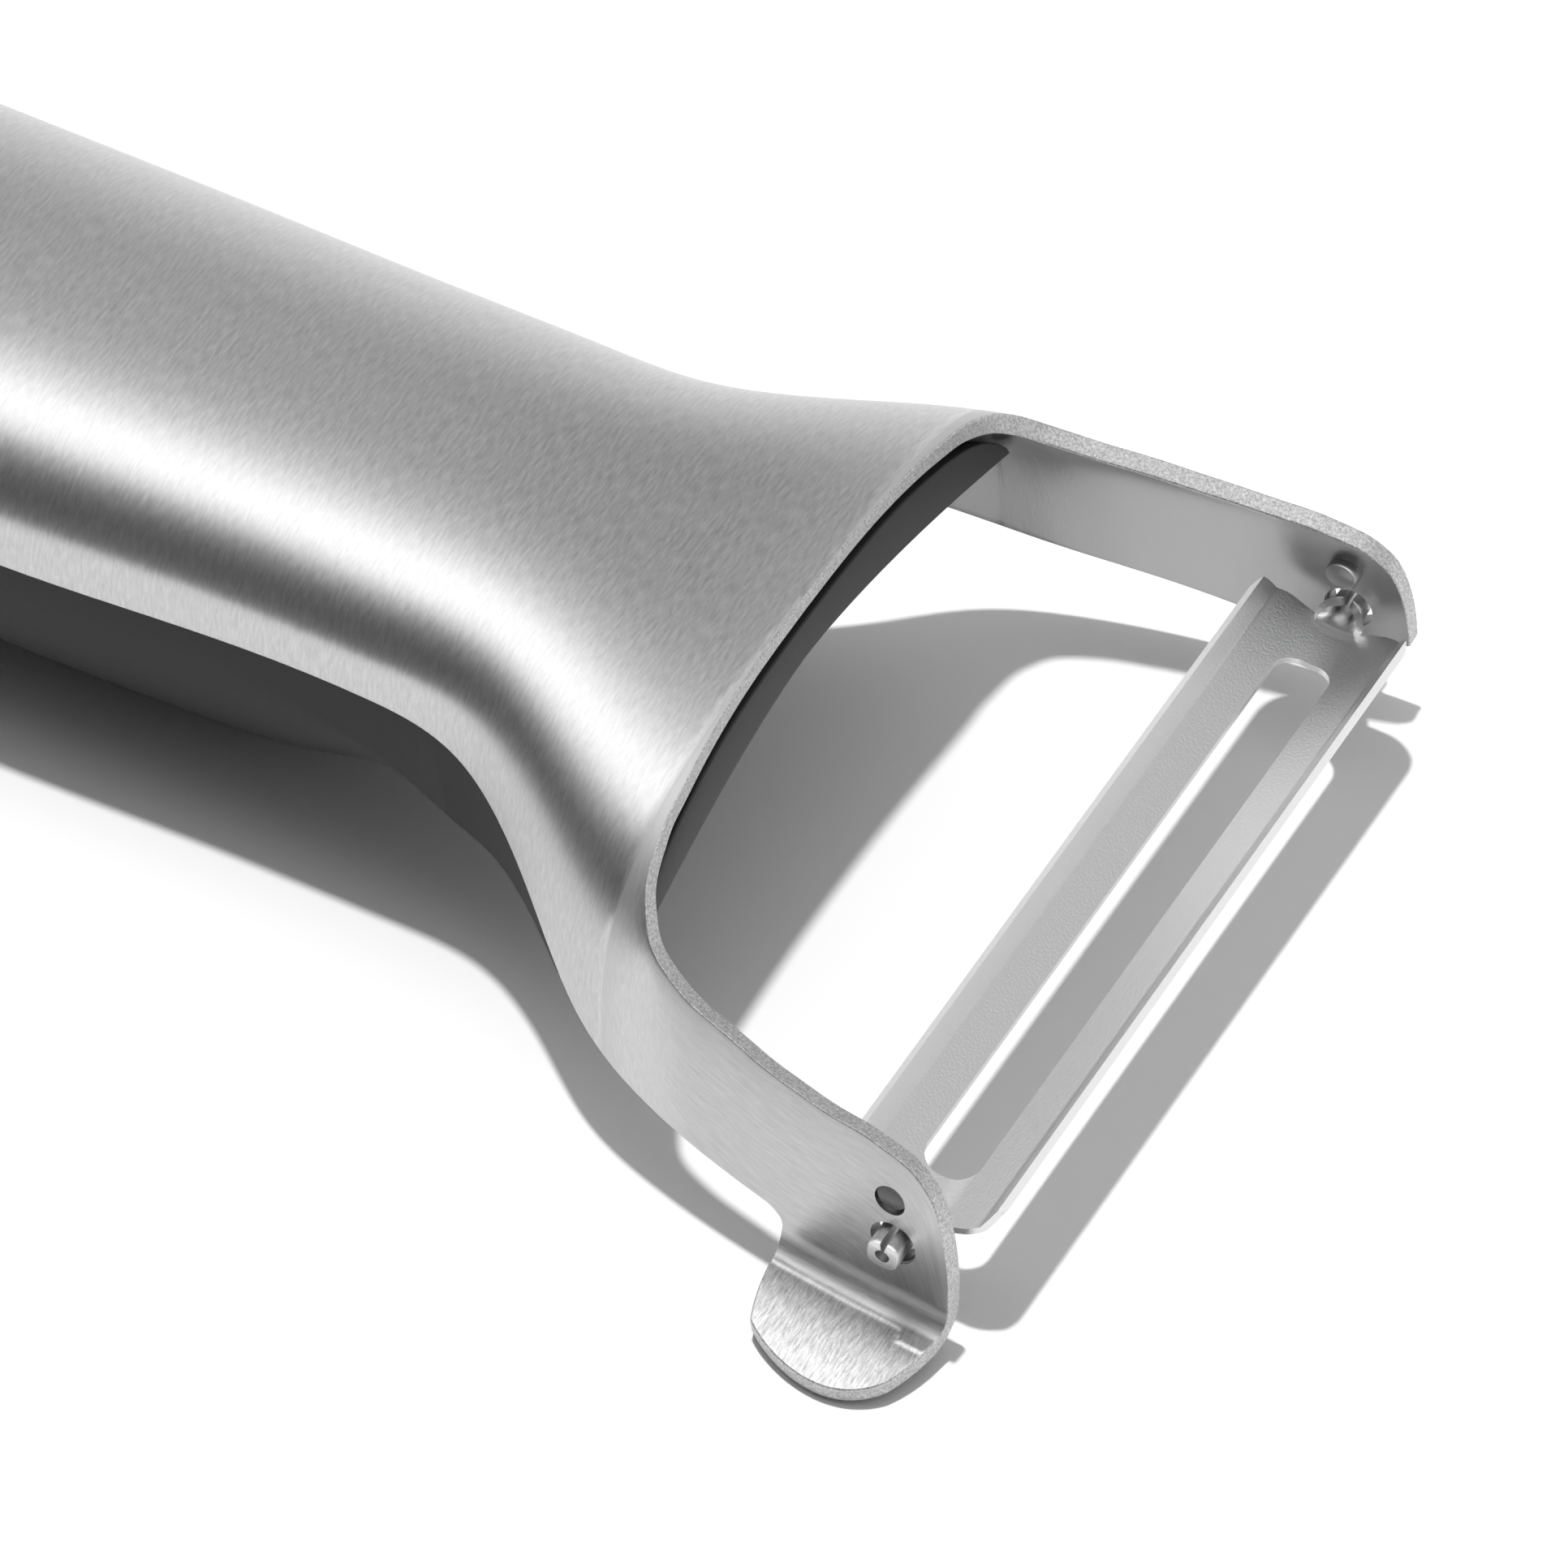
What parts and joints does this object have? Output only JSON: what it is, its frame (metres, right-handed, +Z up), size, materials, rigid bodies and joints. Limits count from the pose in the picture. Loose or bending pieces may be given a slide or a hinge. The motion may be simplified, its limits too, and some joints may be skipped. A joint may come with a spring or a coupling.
{
  "type": "vegetable peeler",
  "caption": "Y-shaped vegetable peeler with a formed steel handle shell and arms, a slotted swivel blade, an eye scoop on one arm and a soft oval grip under the handle",
  "frame": {"origin": "middle of the flat land on the underside of the grip, at half of the peeler's length", "axes": "+X from the handle's tail to the blade, +Y across towards the arm without the scoop, +Z up from the resting flat to the steel top"},
  "size_m": [0.1681, 0.0716, 0.0273],
  "materials": {
    "brushed_sheet": "fine brushed, strokes across the handle",
    "blade_steel": "satin, tumbled",
    "core_plastic": "fine spark-eroded texture",
    "grip_rubber": "matt, soft touch"
  },
  "bodies": {
    "body": {"steel_body": "brushed_sheet", "handle_core": "core_plastic", "soft_grip": "grip_rubber"},
    "blade": {"blade": "blade_steel"}
  },
  "joints": [
    {"name": "blade_swivel", "type": "hinge", "parent": "body", "child": "blade", "pos_m": [0.0784, 0, 0.008], "axis": [0, 1, 0], "range_deg": [-48, 48]}
  ]
}
